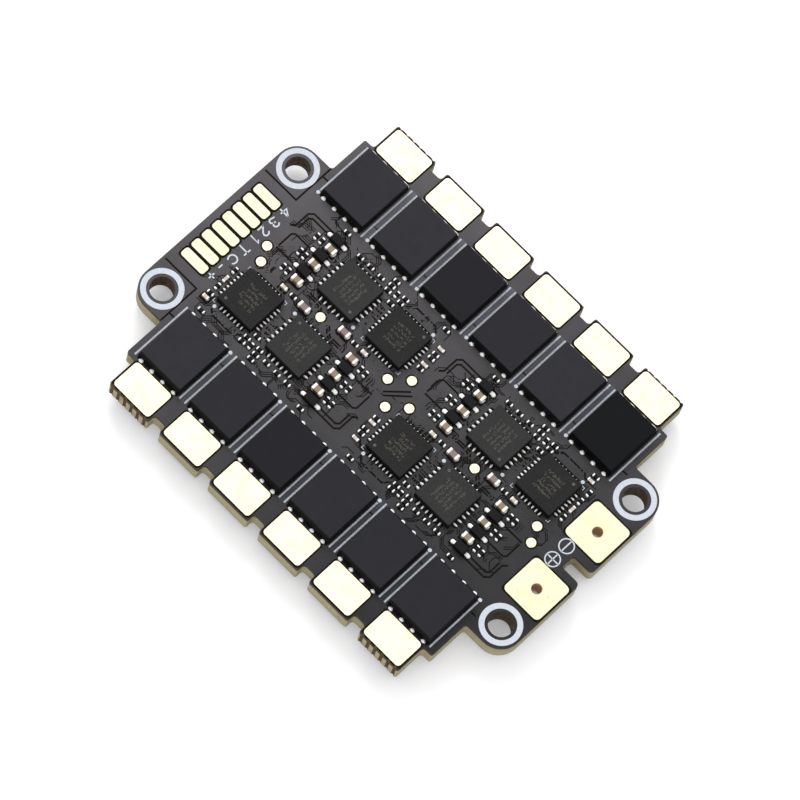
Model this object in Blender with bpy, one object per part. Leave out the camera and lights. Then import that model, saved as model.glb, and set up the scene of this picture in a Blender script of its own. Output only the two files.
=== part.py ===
"""Four-in-one brushless motor speed controller board.

One circuit board carries four identical three-phase motor bridges.  Each bridge
owns a quarter of the board: three output tabs on the long edge, three switching
transistors behind them on the top and three more underneath, a gate driver and a
microcontroller.  The two short ends are the battery end (+X) and the signal end (-X).

Frame: the origin is on the surface that the board stands on, under its centre.
+X points at the battery pads, +Z points up out of the populated top side.
"""

import math

import bmesh
import bpy

MM = 0.001

# Screw holes: four M2 clearance holes in four round-cornered lugs.
HOLE_SPACING_X = 40.0 * MM
HOLE_SPACING_Y = 16.0 * MM
HOLE_RADIUS = 1.1 * MM
LUG_RADIUS = 2.05 * MM
LAND_INNER_RADIUS = 1.37 * MM
LAND_OUTER_RADIUS = 1.86 * MM
LAND_HEIGHT = 0.02 * MM
LAND_ROOT = 0.2 * MM

# Board outline.
BOARD_THICKNESS = 1.95 * MM
BODY_HALF_X = 18.0 * MM
BODY_HALF_Y = 14.05 * MM
TAB_PITCH = 5.89 * MM
TAB_WIDTH = 4.55 * MM
TAB_EDGE_Y = 17.05 * MM
NOTCH_FLOOR_Y = 16.2 * MM
TABS_PER_SIDE = 6
SLOT_WIDTH = 1.44 * MM
SLOT_DEPTH = 2.1 * MM
INNER_FILLET = 0.3 * MM
EDGE_FILLET = 0.18 * MM
SLOT_MOUTH_FILLET = 0.4 * MM

# Half-round bites that snapping the panel apart left in the four corner tabs.
BITE_COUNT = 6
BITE_PITCH = 0.76 * MM
BITE_RADIUS = 0.17 * MM
BITE_SEGMENTS = 4

# Moulded packages, measured at the board: width along X, depth along Y, height.
FET_BODY = (4.9 * MM, 5.75 * MM, 1.0 * MM)
FET_DRAFT = 0.13 * MM
FET_ROW_Y = 10.72 * MM
QFN_BODY = (4.0 * MM, 4.0 * MM, 0.78 * MM)
QFN_DRAFT = 0.015 * MM
PACKAGE_BEVEL = 0.05 * MM

# Where the control chips of one half block sit, from the centre of the block.
BLOCK_CENTRE_X = 8.83 * MM
DRIVER_OFFSET = (-0.32 * MM, 3.39 * MM)
MCU_OFFSET = (5.40 * MM, 3.39 * MM)

# Underside parts of the battery input: width, depth, height, and centre.
SHUNT_BODY = (6.4 * MM, 3.2 * MM, 0.6 * MM)
SHUNT_CENTRE = (13.2 * MM, 3.64 * MM)
AMPLIFIER_BODY = (2.0 * MM, 1.25 * MM, 0.9 * MM)
AMPLIFIER_CENTRE = (7.6 * MM, 3.64 * MM)
REGULATOR_BODY = (2.9 * MM, 1.6 * MM, 0.9 * MM)
REGULATOR_CENTRE = (-13.0 * MM, -2.4 * MM)

# Copper pads: size along X, size along Y, corner radius.
PAD_THICKNESS = 0.07 * MM
MOTOR_PAD = (4.16 * MM, 2.86 * MM, 0.32 * MM)
MOTOR_PAD_Y = 15.44 * MM
POWER_PAD = (4.03 * MM, 4.06 * MM, 0.42 * MM)
POWER_PAD_CENTRE = (19.87 * MM, 3.63 * MM)
POWER_HOLE_RADIUS = 0.5 * MM
SIGNAL_PAD = (2.64 * MM, 0.91 * MM, 0.25 * MM)
SIGNAL_PAD_X = -19.95 * MM
SIGNAL_PAD_PITCH = 1.213 * MM
SIGNAL_PAD_NAMES = ("motor_4", "motor_3", "motor_2", "motor_1",
                    "telemetry", "current", "negative", "positive")

# Pieces that touch keep this gap.
CONTACT_GAP = 0.02 * MM

ROUND_SEGMENTS = 24
LUG_ARC_SEGMENTS = 8
FILLET_SEGMENTS = 3

# Heights above the resting surface: the lower transistors stand on it.
BOARD_BOTTOM_Z = FET_BODY[2] + CONTACT_GAP
BOARD_TOP_Z = BOARD_BOTTOM_Z + BOARD_THICKNESS

# The four bridges: name, which block, and which long side they drive.
CHANNELS = (("m1", 1, -1), ("m2", 1, 1), ("m3", -1, -1), ("m4", -1, 1))
PHASES = ("a", "b", "c")


def clear_scene():
    for obj in list(bpy.data.objects):
        bpy.data.objects.remove(obj, do_unlink=True)


def make_material(name, colour, roughness, metallic=0.0):
    material = bpy.data.materials.new(name)
    material.use_nodes = True
    shader = material.node_tree.nodes["Principled BSDF"]
    shader.inputs["Base Color"].default_value = (*colour, 1.0)
    shader.inputs["Roughness"].default_value = roughness
    shader.inputs["Metallic"].default_value = metallic
    return material


def make_empty(name, height, turned_over=False):
    empty = bpy.data.objects.new(name, None)
    empty.location = (0.0, 0.0, height)
    if turned_over:
        empty.rotation_euler = (math.pi, 0.0, 0.0)
    bpy.context.collection.objects.link(empty)
    return empty


def add_object(name, mesh, material, location, parent=None):
    obj = bpy.data.objects.new(name, mesh)
    if not mesh.materials:
        mesh.materials.append(material)
    obj.location = location
    obj.parent = parent
    bpy.context.collection.objects.link(obj)
    return obj


def finish_mesh(name, bm):
    bmesh.ops.recalc_face_normals(bm, faces=bm.faces)
    mesh = bpy.data.meshes.new(name)
    bm.to_mesh(mesh)
    bm.free()
    return mesh


def circle_points(cx, cy, radius, segments=ROUND_SEGMENTS):
    step = 2.0 * math.pi / segments
    return [(cx + radius * math.cos(step * i), cy + radius * math.sin(step * i))
            for i in range(segments)]


def rounded_outline(corners):
    """Turn (x, y, radius) corners into points, with an arc at each rounded one."""
    points = []
    for i, (x, y, radius) in enumerate(corners):
        if radius == 0.0:
            points.append((x, y))
            continue
        before = corners[i - 1]
        after = corners[(i + 1) % len(corners)]
        to_before = math.atan2(before[1] - y, before[0] - x)
        to_after = math.atan2(after[1] - y, after[0] - x)
        opening = (to_after - to_before) % (2.0 * math.pi)
        reflex = opening > math.pi
        half = (2.0 * math.pi - opening if reflex else opening) / 2.0
        middle = to_before + opening / 2.0 + (math.pi if reflex else 0.0)
        reach = radius / math.sin(half)
        cx = x + reach * math.cos(middle)
        cy = y + reach * math.sin(middle)
        sweep = math.pi - 2.0 * half
        turn = 1.0 if reflex else -1.0
        start = middle + math.pi - turn * sweep / 2.0
        segments = LUG_ARC_SEGMENTS if radius == LUG_RADIUS else FILLET_SEGMENTS
        for step in range(segments + 1):
            angle = start + turn * sweep * step / segments
            points.append((cx + radius * math.cos(angle), cy + radius * math.sin(angle)))
    return points


def rectangle_corners(width, depth, radius):
    x = width / 2.0
    y = depth / 2.0
    return [(x, -y, radius), (x, y, radius), (-x, y, radius), (-x, -y, radius)]


def extrude_outline(bm, points, bottom, top):
    base = bm.faces.new([bm.verts.new((x, y, bottom)) for x, y in points])
    wall = bmesh.ops.extrude_face_region(bm, geom=[base])
    moved = [item for item in wall["geom"] if isinstance(item, bmesh.types.BMVert)]
    bmesh.ops.translate(bm, verts=moved, vec=(0.0, 0.0, top - bottom))


def tab_centres():
    first = (TABS_PER_SIDE - 1) / 2.0
    return [(first - i) * TAB_PITCH for i in range(TABS_PER_SIDE)]


def bite_corners(centre):
    """Half-round bites along the outer edge of a tab, walked from +X to -X."""
    corners = []
    first = (BITE_COUNT - 1) / 2.0
    for i in range(BITE_COUNT):
        bite_x = centre + (first - i) * BITE_PITCH
        for step in range(BITE_SEGMENTS + 1):
            angle = math.pi * step / BITE_SEGMENTS
            corners.append((bite_x + BITE_RADIUS * math.cos(angle),
                            TAB_EDGE_Y - BITE_RADIUS * math.sin(angle), 0.0))
    return corners


def long_side_corners():
    """The +Y side, from the battery end to the signal end."""
    corners = [(BODY_HALF_X, HOLE_SPACING_Y / 2.0 + LUG_RADIUS, INNER_FILLET),
               (BODY_HALF_X, BODY_HALF_Y, EDGE_FILLET)]
    centres = tab_centres()
    for centre in centres:
        first = centre == centres[0]
        last = centre == centres[-1]
        right = centre + TAB_WIDTH / 2.0
        left = centre - TAB_WIDTH / 2.0
        corners.append((right, BODY_HALF_Y if first else NOTCH_FLOOR_Y, INNER_FILLET))
        corners.append((right, TAB_EDGE_Y, EDGE_FILLET))
        if first or last:
            corners += bite_corners(centre)
        corners.append((left, TAB_EDGE_Y, EDGE_FILLET))
        corners.append((left, BODY_HALF_Y if last else NOTCH_FLOOR_Y, INNER_FILLET))
    corners += [(-BODY_HALF_X, BODY_HALF_Y, EDGE_FILLET),
                (-BODY_HALF_X, HOLE_SPACING_Y / 2.0 + LUG_RADIUS, INNER_FILLET)]
    return corners


def board_corners():
    end_x = HOLE_SPACING_X / 2.0 + LUG_RADIUS
    lug_y = HOLE_SPACING_Y / 2.0 + LUG_RADIUS
    slot_y = SLOT_WIDTH / 2.0
    battery_end = [(end_x, -lug_y, LUG_RADIUS),
                   (end_x, -slot_y, SLOT_MOUTH_FILLET),
                   (end_x - SLOT_DEPTH, -slot_y, INNER_FILLET),
                   (end_x - SLOT_DEPTH, slot_y, INNER_FILLET),
                   (end_x, slot_y, SLOT_MOUTH_FILLET),
                   (end_x, lug_y, LUG_RADIUS)]
    signal_end = [(-end_x, lug_y, LUG_RADIUS), (-end_x, -lug_y, LUG_RADIUS)]
    plus_y = long_side_corners()
    minus_y = [(-x, -y, radius) for x, y, radius in plus_y]
    return battery_end + plus_y + signal_end + minus_y


def screw_centres():
    return [(sx * HOLE_SPACING_X / 2.0, sy * HOLE_SPACING_Y / 2.0)
            for sx in (-1, 1) for sy in (-1, 1)]


def make_guide(name, mesh):
    """An object that only shapes others."""
    guide = bpy.data.objects.new(name, mesh)
    guide.hide_render = True
    guide.display_type = "WIRE"
    bpy.context.collection.objects.link(guide)
    return guide


def make_hole_cutter():
    """Six upright rods: one through each screw hole and each battery pad."""
    bm = bmesh.new()
    bottom = 0.0
    top = BOARD_TOP_Z + BOARD_BOTTOM_Z
    for cx, cy in screw_centres():
        extrude_outline(bm, circle_points(cx, cy, HOLE_RADIUS), bottom, top)
    for side in (-1, 1):
        points = circle_points(POWER_PAD_CENTRE[0], side * POWER_PAD_CENTRE[1],
                               POWER_HOLE_RADIUS)
        extrude_outline(bm, points, bottom, top)
    return make_guide("hole_cutter", finish_mesh("hole_cutter", bm))


def extrude_ring(bm, cx, cy, bottom, top):
    """A flat ring, as four loops of points joined all round."""
    loops = []
    for radius, z in ((LAND_OUTER_RADIUS, bottom), (LAND_OUTER_RADIUS, top),
                      (LAND_INNER_RADIUS, top), (LAND_INNER_RADIUS, bottom)):
        loops.append([bm.verts.new((x, y, z)) for x, y in circle_points(cx, cy, radius)])
    for i, loop in enumerate(loops):
        following = loops[(i + 1) % len(loops)]
        for j in range(ROUND_SEGMENTS):
            k = (j + 1) % ROUND_SEGMENTS
            bm.faces.new((loop[j], loop[k], following[k], following[j]))


def make_land_guide():
    """The raised printed ring round each screw hole, on both faces."""
    bm = bmesh.new()
    for cx, cy in screw_centres():
        extrude_ring(bm, cx, cy, BOARD_TOP_Z - LAND_ROOT, BOARD_TOP_Z + LAND_HEIGHT)
        extrude_ring(bm, cx, cy, BOARD_BOTTOM_Z - LAND_HEIGHT, BOARD_BOTTOM_Z + LAND_ROOT)
    return make_guide("land_guide", finish_mesh("land_guide", bm))


def add_boolean(obj, operation, other):
    modifier = obj.modifiers.new(operation.lower(), "BOOLEAN")
    modifier.operation = operation
    modifier.solver = "EXACT"
    modifier.object = other


def make_board(material, cutter, lands):
    bm = bmesh.new()
    extrude_outline(bm, rounded_outline(board_corners()), BOARD_BOTTOM_Z, BOARD_TOP_Z)
    board = add_object("circuit_board", finish_mesh("circuit_board", bm), material,
                       (0.0, 0.0, 0.0))
    add_boolean(board, "UNION", lands)
    add_boolean(board, "DIFFERENCE", cutter)


def package_mesh(name, body, draft):
    """A moulded block that narrows by the draft on each side towards its top."""
    width, depth, height = body
    bm = bmesh.new()
    bmesh.ops.create_cube(bm, size=1.0)
    for vert in bm.verts:
        shrink = draft if vert.co.z > 0.0 else 0.0
        vert.co.x *= width - 2.0 * shrink
        vert.co.y *= depth - 2.0 * shrink
        vert.co.z = (vert.co.z + 0.5) * height
    return finish_mesh(name, bm)


def add_package(name, mesh, material, centre, side):
    obj = add_object(name, mesh, material, (centre[0], centre[1], CONTACT_GAP), side)
    bevel = obj.modifiers.new("bevel", "BEVEL")
    bevel.width = PACKAGE_BEVEL
    bevel.segments = 1
    bevel.limit_method = "NONE"
    return obj


def pad_mesh(name, pad):
    bm = bmesh.new()
    extrude_outline(bm, rounded_outline(rectangle_corners(*pad)), 0.0, PAD_THICKNESS)
    return finish_mesh(name, bm)


def channel_tabs(block):
    """The three tab centres that one channel drives, in order from -X to +X."""
    return sorted(x for x in tab_centres() if x * block > 0.0)


def make_power_stage(top, underside, materials):
    upper_mesh = package_mesh("transistor", FET_BODY, FET_DRAFT)
    lower_mesh = upper_mesh.copy()
    pad = pad_mesh("motor_pad", MOTOR_PAD)
    for channel, block, side in CHANNELS:
        for phase, x in zip(PHASES, channel_tabs(block)):
            tag = channel + "_" + phase
            row_y = side * FET_ROW_Y
            add_package("mosfet_top_" + tag, upper_mesh, materials["mould"], (x, row_y), top)
            add_package("mosfet_under_" + tag, lower_mesh, materials["mould"], (x, -row_y),
                        underside)
            add_object("motor_pad_" + tag, pad, materials["gold"],
                       (x, side * MOTOR_PAD_Y, CONTACT_GAP), top)


def make_control_chips(top, materials):
    driver_mesh = package_mesh("gate_driver", QFN_BODY, QFN_DRAFT)
    mcu_mesh = package_mesh("microcontroller", QFN_BODY, QFN_DRAFT)
    for channel, block, side in CHANNELS:
        centre_x = block * BLOCK_CENTRE_X
        for name, mesh, offset in (("gate_driver_", driver_mesh, DRIVER_OFFSET),
                                   ("microcontroller_", mcu_mesh, MCU_OFFSET)):
            centre = (centre_x + side * offset[0], side * offset[1])
            add_package(name + channel, mesh, materials["chip"], centre, top)


def make_battery_end(top, underside, materials, cutter):
    pad = pad_mesh("power_pad", POWER_PAD)
    for name, side in (("positive", -1), ("negative", 1)):
        obj = add_object("power_pad_" + name, pad, materials["gold"],
                         (POWER_PAD_CENTRE[0], side * POWER_PAD_CENTRE[1], CONTACT_GAP), top)
        add_boolean(obj, "DIFFERENCE", cutter)
    for name, body, centre, finish in (
            ("current_shunt", SHUNT_BODY, SHUNT_CENTRE, "shunt"),
            ("current_amplifier", AMPLIFIER_BODY, AMPLIFIER_CENTRE, "mould"),
            ("voltage_regulator", REGULATOR_BODY, REGULATOR_CENTRE, "mould")):
        mesh = package_mesh(name, body, FET_DRAFT / 2.0)
        add_package(name, mesh, materials[finish], (centre[0], -centre[1]), underside)


def make_signal_end(top, materials):
    pad = pad_mesh("signal_pad", SIGNAL_PAD)
    first = (len(SIGNAL_PAD_NAMES) - 1) / 2.0
    for i, name in enumerate(SIGNAL_PAD_NAMES):
        add_object("signal_pad_" + name, pad, materials["gold"],
                   (SIGNAL_PAD_X, (first - i) * SIGNAL_PAD_PITCH, CONTACT_GAP), top)


def main():
    clear_scene()
    materials = {
        "board": make_material("solder_mask", (0.055, 0.052, 0.058), 0.45),
        "mould": make_material("transistor_mould", (0.035, 0.035, 0.038), 0.55),
        "chip": make_material("chip_mould", (0.030, 0.030, 0.028), 0.6),
        "gold": make_material("gold_plating", (1.0, 0.86, 0.55), 0.25, 1.0),
        "shunt": make_material("shunt_metal", (0.12, 0.12, 0.13), 0.4, 0.6),
    }
    top = make_empty("top_side", BOARD_TOP_Z)
    underside = make_empty("underside", BOARD_BOTTOM_Z, turned_over=True)
    bpy.context.view_layer.update()
    cutter = make_hole_cutter()
    make_board(materials["board"], cutter, make_land_guide())
    make_power_stage(top, underside, materials)
    make_control_chips(top, materials)
    make_battery_end(top, underside, materials, cutter)
    make_signal_end(top, materials)


main()
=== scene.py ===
"""Looks of a four channel electronic speed controller: one board, parts soldered flat on it.

Lengths are in millimetres until a piece is made, when they become metres.
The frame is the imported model's: X is the long side of the board, Z is up from the floor.
Each of the four channels is one block of the board, and the blocks at -Y are the blocks
at +Y turned half round, so every small part is listed once, in its block's own frame.
"""

import math
import random

import bpy
from mathutils import Matrix, Vector
from mathutils.geometry import delaunay_2d_cdt


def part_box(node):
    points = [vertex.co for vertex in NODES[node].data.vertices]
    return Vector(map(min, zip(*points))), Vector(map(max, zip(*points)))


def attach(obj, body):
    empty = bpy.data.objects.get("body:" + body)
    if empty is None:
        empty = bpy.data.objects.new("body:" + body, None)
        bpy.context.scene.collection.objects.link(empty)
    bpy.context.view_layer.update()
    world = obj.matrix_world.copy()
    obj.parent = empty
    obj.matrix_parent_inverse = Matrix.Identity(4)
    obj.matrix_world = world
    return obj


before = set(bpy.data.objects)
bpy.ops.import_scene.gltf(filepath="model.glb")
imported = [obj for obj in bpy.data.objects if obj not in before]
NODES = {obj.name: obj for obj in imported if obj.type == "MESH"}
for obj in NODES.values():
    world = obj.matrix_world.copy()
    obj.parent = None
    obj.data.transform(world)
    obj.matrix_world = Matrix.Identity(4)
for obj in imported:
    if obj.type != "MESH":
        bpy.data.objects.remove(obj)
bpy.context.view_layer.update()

MM = 0.001


# -------- places from the frame


def node_range(name):
    """Lowest and highest corner of a CAD node, in millimetres."""
    low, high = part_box(name)
    return [v / MM for v in low], [v / MM for v in high]


def node_centre(name):
    """Middle of a CAD node's box, in millimetres."""
    low, high = node_range(name)
    return [(a + b) / 2 for a, b in zip(low, high)]


def node_size(name):
    """Size of a CAD node's box, in millimetres."""
    low, high = node_range(name)
    return [b - a for a, b in zip(low, high)]


CHANNELS = ("m1", "m2", "m3", "m4")
PHASES = [f"{channel}_{phase}" for channel in CHANNELS for phase in "abc"]
MOTOR_SIGNALS = ["motor_4", "motor_3", "motor_2", "motor_1"]
OTHER_SIGNALS = ["telemetry", "current", "negative", "positive"]
TOP_TRANSISTORS = [f"mosfet_top_{phase}" for phase in PHASES]
UNDER_TRANSISTORS = [f"mosfet_under_{phase}" for phase in PHASES]
DRIVERS = [f"gate_driver_{channel}" for channel in CHANNELS]
CONTROLLERS = [f"microcontroller_{channel}" for channel in CHANNELS]
MOTOR_PADS = [f"motor_pad_{phase}" for phase in PHASES]
POWER_PADS = ["power_pad_positive", "power_pad_negative"]
SIGNAL_PADS = [f"signal_pad_{signal}" for signal in MOTOR_SIGNALS + OTHER_SIGNALS]

CONTACT_GAP = 0.02
PAD_TOP = node_range(MOTOR_PADS[0])[1][2]
BOARD_TOP = node_range(MOTOR_PADS[0])[0][2] - CONTACT_GAP
BOARD_BOTTOM = node_range(UNDER_TRANSISTORS[0])[1][2] + CONTACT_GAP
MASK_THICKNESS = 0.05
MASK_TOP = BOARD_TOP + MASK_THICKNESS
SILK_TOP = MASK_TOP + 0.015
TRACK_TOP = MASK_TOP + 0.012


class Block:
    """One channel's part of the board.

    Its x is the middle of its transistors, and its sign is -1 for the blocks at -Y, which are
    turned half round. It is inner where its own +X side faces the middle of the board.
    """

    def __init__(self, channel):
        x, y, _ = node_centre(f"mosfet_top_{channel}_b")
        self.channel = channel
        self.sign = 1 if y > 0 else -1
        self.x = x
        self.inner = (x < 0) == (self.sign > 0)

    def at(self, x, y):
        """A point of the block's own frame, on the board."""
        return self.x + self.sign * x, self.sign * y


BLOCKS = [Block(channel) for channel in CHANNELS]
seeded = random.Random(41)


# -------- flat outlines


def circle(x, y, radius, steps=32):
    """Points of a circle, anticlockwise."""
    turns = [2 * math.pi * i / steps for i in range(steps)]
    return [(x + radius * math.cos(t), y + radius * math.sin(t)) for t in turns]


def arc(x, y, radius, start, end, steps):
    """Points of an arc from start to end degrees."""
    turns = [math.radians(start + (end - start) * i / steps) for i in range(steps + 1)]
    return [(x + radius * math.cos(t), y + radius * math.sin(t)) for t in turns]


def rounded(x, y, wide, deep, radius, steps=4):
    """Points of a rectangle with round corners, anticlockwise."""
    points = []
    corners = ((1, 1, 0), (-1, 1, 90), (-1, -1, 180), (1, -1, 270))
    for sx, sy, start in corners:
        cx = x + sx * (wide / 2 - radius)
        cy = y + sy * (deep / 2 - radius)
        points.extend(arc(cx, cy, radius, start, start + 90, steps))
    return points


SHARPEST = 0.3


def ribbon(path, width):
    """Outline of a line of one width along a path, with mitred bends and square ends."""
    half = width / 2
    left = []
    right = []
    last = len(path) - 1
    for i, (x, y) in enumerate(path):
        ways = []
        for a, b in ((i - 1, i), (i, i + 1)):
            if a >= 0 and b <= last:
                dx = path[b][0] - path[a][0]
                dy = path[b][1] - path[a][1]
                length = math.hypot(dx, dy)
                ways.append((-dy / length, dx / length))
        nx = sum(w[0] for w in ways) / len(ways)
        ny = sum(w[1] for w in ways) / len(ways)
        grow = half / max(nx * nx + ny * ny, SHARPEST)
        ex = ey = 0.0
        if i == 0:
            ex, ey = -ways[0][1] * half, ways[0][0] * half
        if i == last:
            ex, ey = ways[0][1] * half, -ways[0][0] * half
        left.append((x + nx * grow + ex, y + ny * grow + ey))
        right.append((x - nx * grow + ex, y - ny * grow + ey))
    return right + left[::-1]


# -------- solid shapes

DOME_LIFT = math.radians(84)


def lifted(outline, z):
    """The points of a flat outline at one height."""
    return [(x, y, z) for x, y in outline]


class Shape:
    """The points and faces of one piece, gathered from many small solids."""

    def __init__(self):
        self.points = []
        self.faces = []
        self.smooth = []

    def add(self, points, faces, smooth=False):
        """Adds one solid, its faces given by the places of its own points."""
        first = len(self.points)
        self.points.extend(points)
        for face in faces:
            self.faces.append([first + i for i in face])
            self.smooth.append(smooth)

    def loft(self, loops, smooth=False):
        """A closed solid through loops of equally many points, lowest loop first."""
        count = len(loops[0])
        points = [p for loop in loops for p in loop]
        walls = []
        for level in range(len(loops) - 1):
            low = level * count
            high = low + count
            for i in range(count):
                j = (i + 1) % count
                walls.append([low + i, low + j, high + j, high + i])
        top = (len(loops) - 1) * count
        self.add(points, walls, smooth)
        first = len(self.points) - len(points)
        self.faces.append([first + i for i in range(count - 1, -1, -1)])
        self.faces.append([first + top + i for i in range(count)])
        self.smooth.extend([False, smooth])

    def prism(self, outline, low, high):
        """A flat outline given a thickness."""
        self.loft([lifted(outline, z) for z in (low, high)])

    def ring(self, x, y, inner, outer, low, high, steps=64):
        """A flat ring with a thickness."""
        self.band(circle(x, y, inner, steps), circle(x, y, outer, steps), low, high)

    def band(self, inner, outer, low, high):
        """The solid between two closed outlines of equally many points."""
        count = len(inner)
        points = []
        for outline, z in ((inner, low), (outer, low), (outer, high), (inner, high)):
            points.extend(lifted(outline, z))
        faces = []
        for side in range(4):
            a = side * count
            b = ((side + 1) % 4) * count
            for i in range(count):
                j = (i + 1) % count
                faces.append([a + j, a + i, b + i, b + j])
        self.add(points, faces)

    def block(self, x, y, wide, deep, low, high, soft, turned=False):
        """A box whose upright and upper edges are rounded off by soft."""
        if turned:
            wide, deep = deep, wide
        loops = []
        for inset, z in ((0, low), (0, high - soft), (soft * 0.3, high - soft * 0.3), (soft, high)):
            radius = max(soft - inset * 0.6, 0.01)
            outline = rounded(x, y, wide - 2 * inset, deep - 2 * inset, radius, 2)
            loops.append(lifted(outline, z))
        self.loft(loops)

    def dome(self, x, y, along, across, low, height, heading=0.0, taper=0.0, steps=12, rings=4):
        """A rounded bead of solder: its half length along heading, half width and height."""
        turn_x = math.cos(heading)
        turn_y = math.sin(heading)
        loops = []
        for ring in range(rings + 1):
            lift = DOME_LIFT * ring / rings
            spread = math.cos(lift)
            loop = []
            for i in range(steps):
                t = 2 * math.pi * i / steps
                u = spread * math.cos(t)
                v = spread * math.sin(t) * (1 - taper * (u + 1) / 2)
                px = x + u * along * turn_x - v * across * turn_y
                py = y + u * along * turn_y + v * across * turn_x
                loop.append((px, py, low + height * math.sin(lift)))
            loops.append(loop if height > 0 else loop[::-1])
        self.loft(loops, smooth=True)


def piece(name, shape, material):
    """Makes the shape an object that rides on the board."""
    mesh = bpy.data.meshes.new(name)
    mesh.from_pydata([(x * MM, y * MM, z * MM) for x, y, z in shape.points], [], shape.faces)
    mesh.polygons.foreach_set("use_smooth", shape.smooth)
    mesh.materials.append(material)
    mesh.update()
    obj = bpy.data.objects.new(name, mesh)
    bpy.context.scene.collection.objects.link(obj)
    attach(obj, "root")


# -------- materials

SURFACE_SOCKETS = {"metallic": "Metallic", "specular": "Specular IOR Level"}
RANGE_SOCKETS = ("From Min", "From Max", "To Min", "To Max")


def set_range(node, *limits):
    """Sets a Map Range node's limits: its source's, then its result's."""
    for key, limit in zip(RANGE_SOCKETS, limits):
        node.inputs[key].default_value = limit


class Paint:
    """A node material: one Principled surface, and short ways to add nodes to it."""

    def __init__(self, name):
        self.material = bpy.data.materials.new(name)
        self.material.use_nodes = True
        self.nodes = self.material.node_tree.nodes
        self.links = self.material.node_tree.links
        self.surface = self.nodes["Principled BSDF"]
        self.space = self.nodes.new("ShaderNodeTexCoord").outputs["Object"]

    def noise(self, per_mm, detail=3.0, rough=0.5, stretch=(1, 1, 1)):
        """Noise with about per_mm waves to the millimetre."""
        scaled = self.nodes.new("ShaderNodeMapping")
        scaled.inputs["Scale"].default_value = [s / MM for s in stretch]
        self.links.new(self.space, scaled.inputs["Vector"])
        node = self.nodes.new("ShaderNodeTexNoise")
        node.inputs["Scale"].default_value = per_mm
        node.inputs["Detail"].default_value = detail
        node.inputs["Roughness"].default_value = rough
        self.links.new(scaled.outputs["Vector"], node.inputs["Vector"])
        return node.outputs["Fac"]

    def between(self, value, low, high, source_low=0.3, source_high=0.7):
        """Spreads a value's source range over low to high, and keeps it there."""
        node = self.nodes.new("ShaderNodeMapRange")
        set_range(node, source_low, source_high, low, high)
        self.links.new(value, node.inputs["Value"])
        return node.outputs["Result"]

    def feed(self, socket, value):
        """Gives a socket a plain number, a plain colour or another socket's output."""
        if isinstance(value, float):
            socket.default_value = value
        elif isinstance(value, tuple):
            socket.default_value = (*value, 1)
        else:
            self.links.new(value, socket)

    def mix(self, share, first, second, kind="RGBA"):
        """A colour from first to second, or another kind of value."""
        node = self.nodes.new("ShaderNodeMix")
        node.data_type = "FLOAT" if kind == "VALUE" else kind
        self.links.new(share, node.inputs["Factor"])
        for key, value in (("A", first), ("B", second)):
            self.feed([s for s in node.inputs if s.name == key and s.type == kind][0], value)
        return [s for s in node.outputs if s.type == kind][0]

    def blend(self, share, first, second):
        """A number from first to second."""
        return self.mix(share, first, second, "VALUE")

    def math(self, operation, first, second):
        """One operation on one or two numbers."""
        node = self.nodes.new("ShaderNodeMath")
        node.operation = operation
        self.feed(node.inputs[0], first)
        self.feed(node.inputs[1], second)
        return node.outputs["Value"]

    def split(self, vector):
        """The X, Y and Z of a vector."""
        node = self.nodes.new("ShaderNodeSeparateXYZ")
        self.links.new(vector, node.inputs["Vector"])
        return node.outputs

    def upward(self):
        """1 on faces that look up, -1 on those that look down, 0 on upright ones."""
        return self.split(self.nodes.new("ShaderNodeNewGeometry").outputs["Normal"])["Z"]

    def flat(self, low, high):
        """1 on faces that lie flat and 0 on upright ones, with the change from low to high."""
        return self.between(self.math("ABSOLUTE", self.upward(), 0.0), 0.0, 1.0, low, high)

    def colour(self, socket):
        self.links.new(socket, self.surface.inputs["Base Color"])

    def gloss(self, roughness, spread, per_mm):
        """Roughness that wanders by spread over patches of the given scale."""
        level = self.between(self.noise(per_mm), roughness - spread, roughness + spread)
        self.links.new(level, self.surface.inputs["Roughness"])

    def relief(self, *layers):
        """Bumps: each layer is a height socket and its depth in millimetres."""
        normal = None
        for height, depth in layers:
            node = self.nodes.new("ShaderNodeBump")
            node.inputs["Strength"].default_value = 1.0
            node.inputs["Distance"].default_value = depth * MM
            self.links.new(height, node.inputs["Height"])
            if normal is not None:
                self.links.new(normal, node.inputs["Normal"])
            normal = node.outputs["Normal"]
        self.links.new(normal, self.surface.inputs["Normal"])

    def fixed(self, **values):
        """Values that are the same all over, set on the surface's own sockets."""
        for key, value in values.items():
            self.surface.inputs[SURFACE_SOCKETS[key]].default_value = value


def shade(colour, factor):
    """A colour made lighter or darker."""
    return tuple(min(c * factor, 1.0) for c in colour)


def grainy(name, colour, contrast, roughness, spread, per_mm, depth, **values):
    """A surface whose colour, gloss and relief all carry a fine grain."""
    paint = Paint(name)
    grain = paint.between(paint.noise(per_mm), 0.0, 1.0)
    paint.colour(paint.mix(grain, shade(colour, 1 - contrast), shade(colour, 1 + contrast)))
    paint.gloss(roughness, spread, per_mm * 0.3)
    paint.relief((paint.noise(per_mm * 1.7), depth))
    paint.fixed(**values)
    return paint.material


# How far to each side of the middle the mask's painted sheen goes on changing.
SHEEN_REACH = 27


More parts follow.
